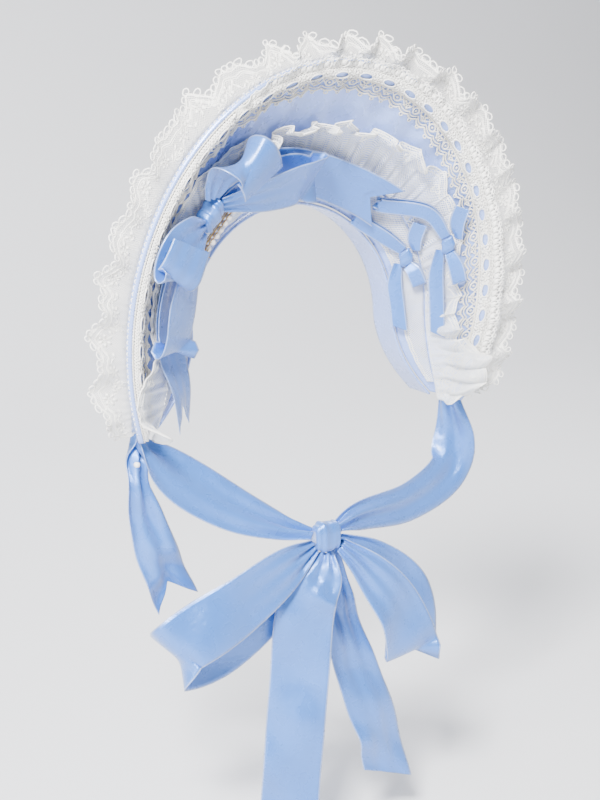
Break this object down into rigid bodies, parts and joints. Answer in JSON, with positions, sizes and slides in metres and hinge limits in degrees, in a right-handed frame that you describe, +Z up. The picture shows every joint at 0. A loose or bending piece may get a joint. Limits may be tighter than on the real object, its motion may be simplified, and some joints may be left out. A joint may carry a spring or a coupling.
{
  "type": "lolita half bonnet",
  "caption": "Half bonnet with a flared horseshoe brim on a head band, lace and net frills, ribbon bows, a pearl brooch and ribbon ties knotted under the chin.",
  "frame": {"origin": "middle of the underside of the head band, on top of the head", "axes": "+Z up, -Y the way the wearer looks, +X to the wearer's left"},
  "size_m": [0.3768, 0.1122, 0.6313],
  "materials": {
    "pale_blue_satin": "satin weave with a soft sheen",
    "ivory_lace": "matt cotton lace, embroidered and corded",
    "white_net": "sheer tulle with a corded edge",
    "gold_and_pearl": "polished gold tone with pearls"
  },
  "bodies": {
    "root": {"bow_fold_lower": "pale_blue_satin", "bow_fold_upper": "pale_blue_satin", "bow_knot": "pale_blue_satin", "bow_loop_lower": "pale_blue_satin", "bow_loop_upper": "pale_blue_satin", "bow_tail_lower": "pale_blue_satin", "bow_tail_upper": "pale_blue_satin", "brim": "pale_blue_satin", "brooch": "gold_and_pearl", "chin_knot": "pale_blue_satin", "chin_loop_left": "pale_blue_satin", "chin_loop_right": "pale_blue_satin", "chin_tail_left": "pale_blue_satin", "chin_tail_right": "pale_blue_satin", "chin_tie_left": "pale_blue_satin", "chin_tie_right": "pale_blue_satin", "frill_heading": "white_net", "head_band": "pale_blue_satin", "inner_frill": "white_net", "insertion_ribbon": "pale_blue_satin", "narrow_bow_1_end_down": "pale_blue_satin", "narrow_bow_1_end_up": "pale_blue_satin", "narrow_bow_1_knot": "pale_blue_satin", "narrow_bow_1_loop_left": "pale_blue_satin", "narrow_bow_1_loop_right": "pale_blue_satin", "narrow_bow_2_end_down": "pale_blue_satin", "narrow_bow_2_end_up": "pale_blue_satin", "narrow_bow_2_knot": "pale_blue_satin", "narrow_bow_2_loop_left": "pale_blue_satin", "narrow_bow_2_loop_right": "pale_blue_satin", "outer_ruffle": "ivory_lace", "rim_braid": "ivory_lace", "streamer": "pale_blue_satin", "tie_stud": "gold_and_pearl"}
  },
  "joints": []
}
